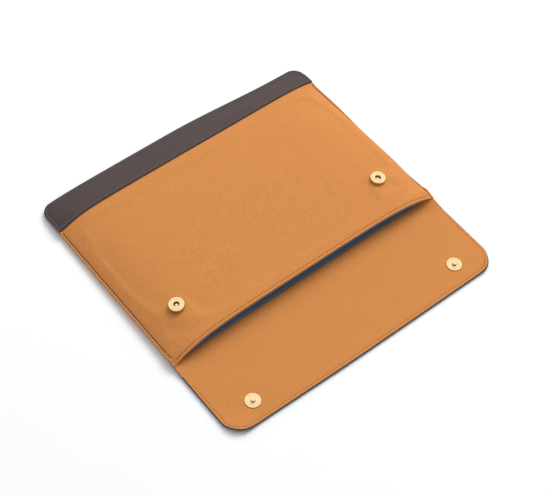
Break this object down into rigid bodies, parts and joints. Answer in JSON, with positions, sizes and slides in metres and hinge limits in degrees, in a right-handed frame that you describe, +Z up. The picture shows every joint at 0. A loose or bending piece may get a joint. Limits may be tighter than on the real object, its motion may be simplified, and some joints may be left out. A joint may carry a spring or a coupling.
{
  "type": "laptop sleeve",
  "caption": "Padded envelope sleeve for a laptop, tan fabric with a dark leather base strip and a folding flap that closes on magnetic snaps.",
  "frame": {"origin": "centre of the footprint on the ground, with the sleeve on its back and the flap open flat", "axes": "+Z up, out of the front panel; +X across the width; +Y from the flap towards the closed base end"},
  "size_m": [0.35, 0.344, 0.0232],
  "materials": {
    "tan_fabric": "matt napped microfibre",
    "dark_leather": "smooth satin leather",
    "lining_cloth": "matt woven lining",
    "foam": "matt foam sheet",
    "stiffener_board": "matt board",
    "brass": "brushed satin",
    "magnet": "plated",
    "steel": "plain",
    "brown_thread": "matt thread",
    "tan_thread": "matt thread"
  },
  "bodies": {
    "root": {"front_panel": "tan_fabric", "front_padding": "foam", "front_lining": "lining_cloth", "back_panel": "tan_fabric", "back_padding": "foam", "back_lining": "lining_cloth", "base_strip_front": "dark_leather", "base_strip_back": "dark_leather", "back_cover_band": "dark_leather", "mouth_facing": "tan_fabric", "socket_cap_left": "brass", "socket_cap_right": "brass", "socket_magnet_left": "magnet", "socket_magnet_right": "magnet", "socket_rivet_left": "brass", "socket_rivet_right": "brass", "socket_washer_left": "steel", "socket_washer_right": "steel", "side_seam_thread_left": "brown_thread", "side_seam_thread_right": "brown_thread", "mouth_hem_thread": "tan_thread", "base_border_thread": "brown_thread", "base_edge_thread": "brown_thread"},
    "spine": {"spine_cover": "dark_leather", "spine_facing": "tan_fabric"},
    "flap": {"flap_cover": "dark_leather", "flap_facing": "tan_fabric", "flap_stiffener": "stiffener_board", "stud_left": "brass", "stud_right": "brass", "stud_washer_left": "steel", "stud_washer_right": "steel", "flap_edge_thread": "tan_thread"}
  },
  "joints": [
    {"name": "lower_fold", "type": "hinge", "parent": "root", "child": "spine", "pos_m": [0, -0.075, 0.0034], "axis": [-1, 0, 0], "range_deg": [0, 90]},
    {"name": "upper_fold", "type": "hinge", "parent": "spine", "child": "flap", "pos_m": [0, -0.098, 0.0034], "axis": [-1, 0, 0], "range_deg": [0, 90]}
  ],
  "couplings": [
    {"joint": "upper_fold", "follows": "lower_fold", "ratio": 1}
  ]
}
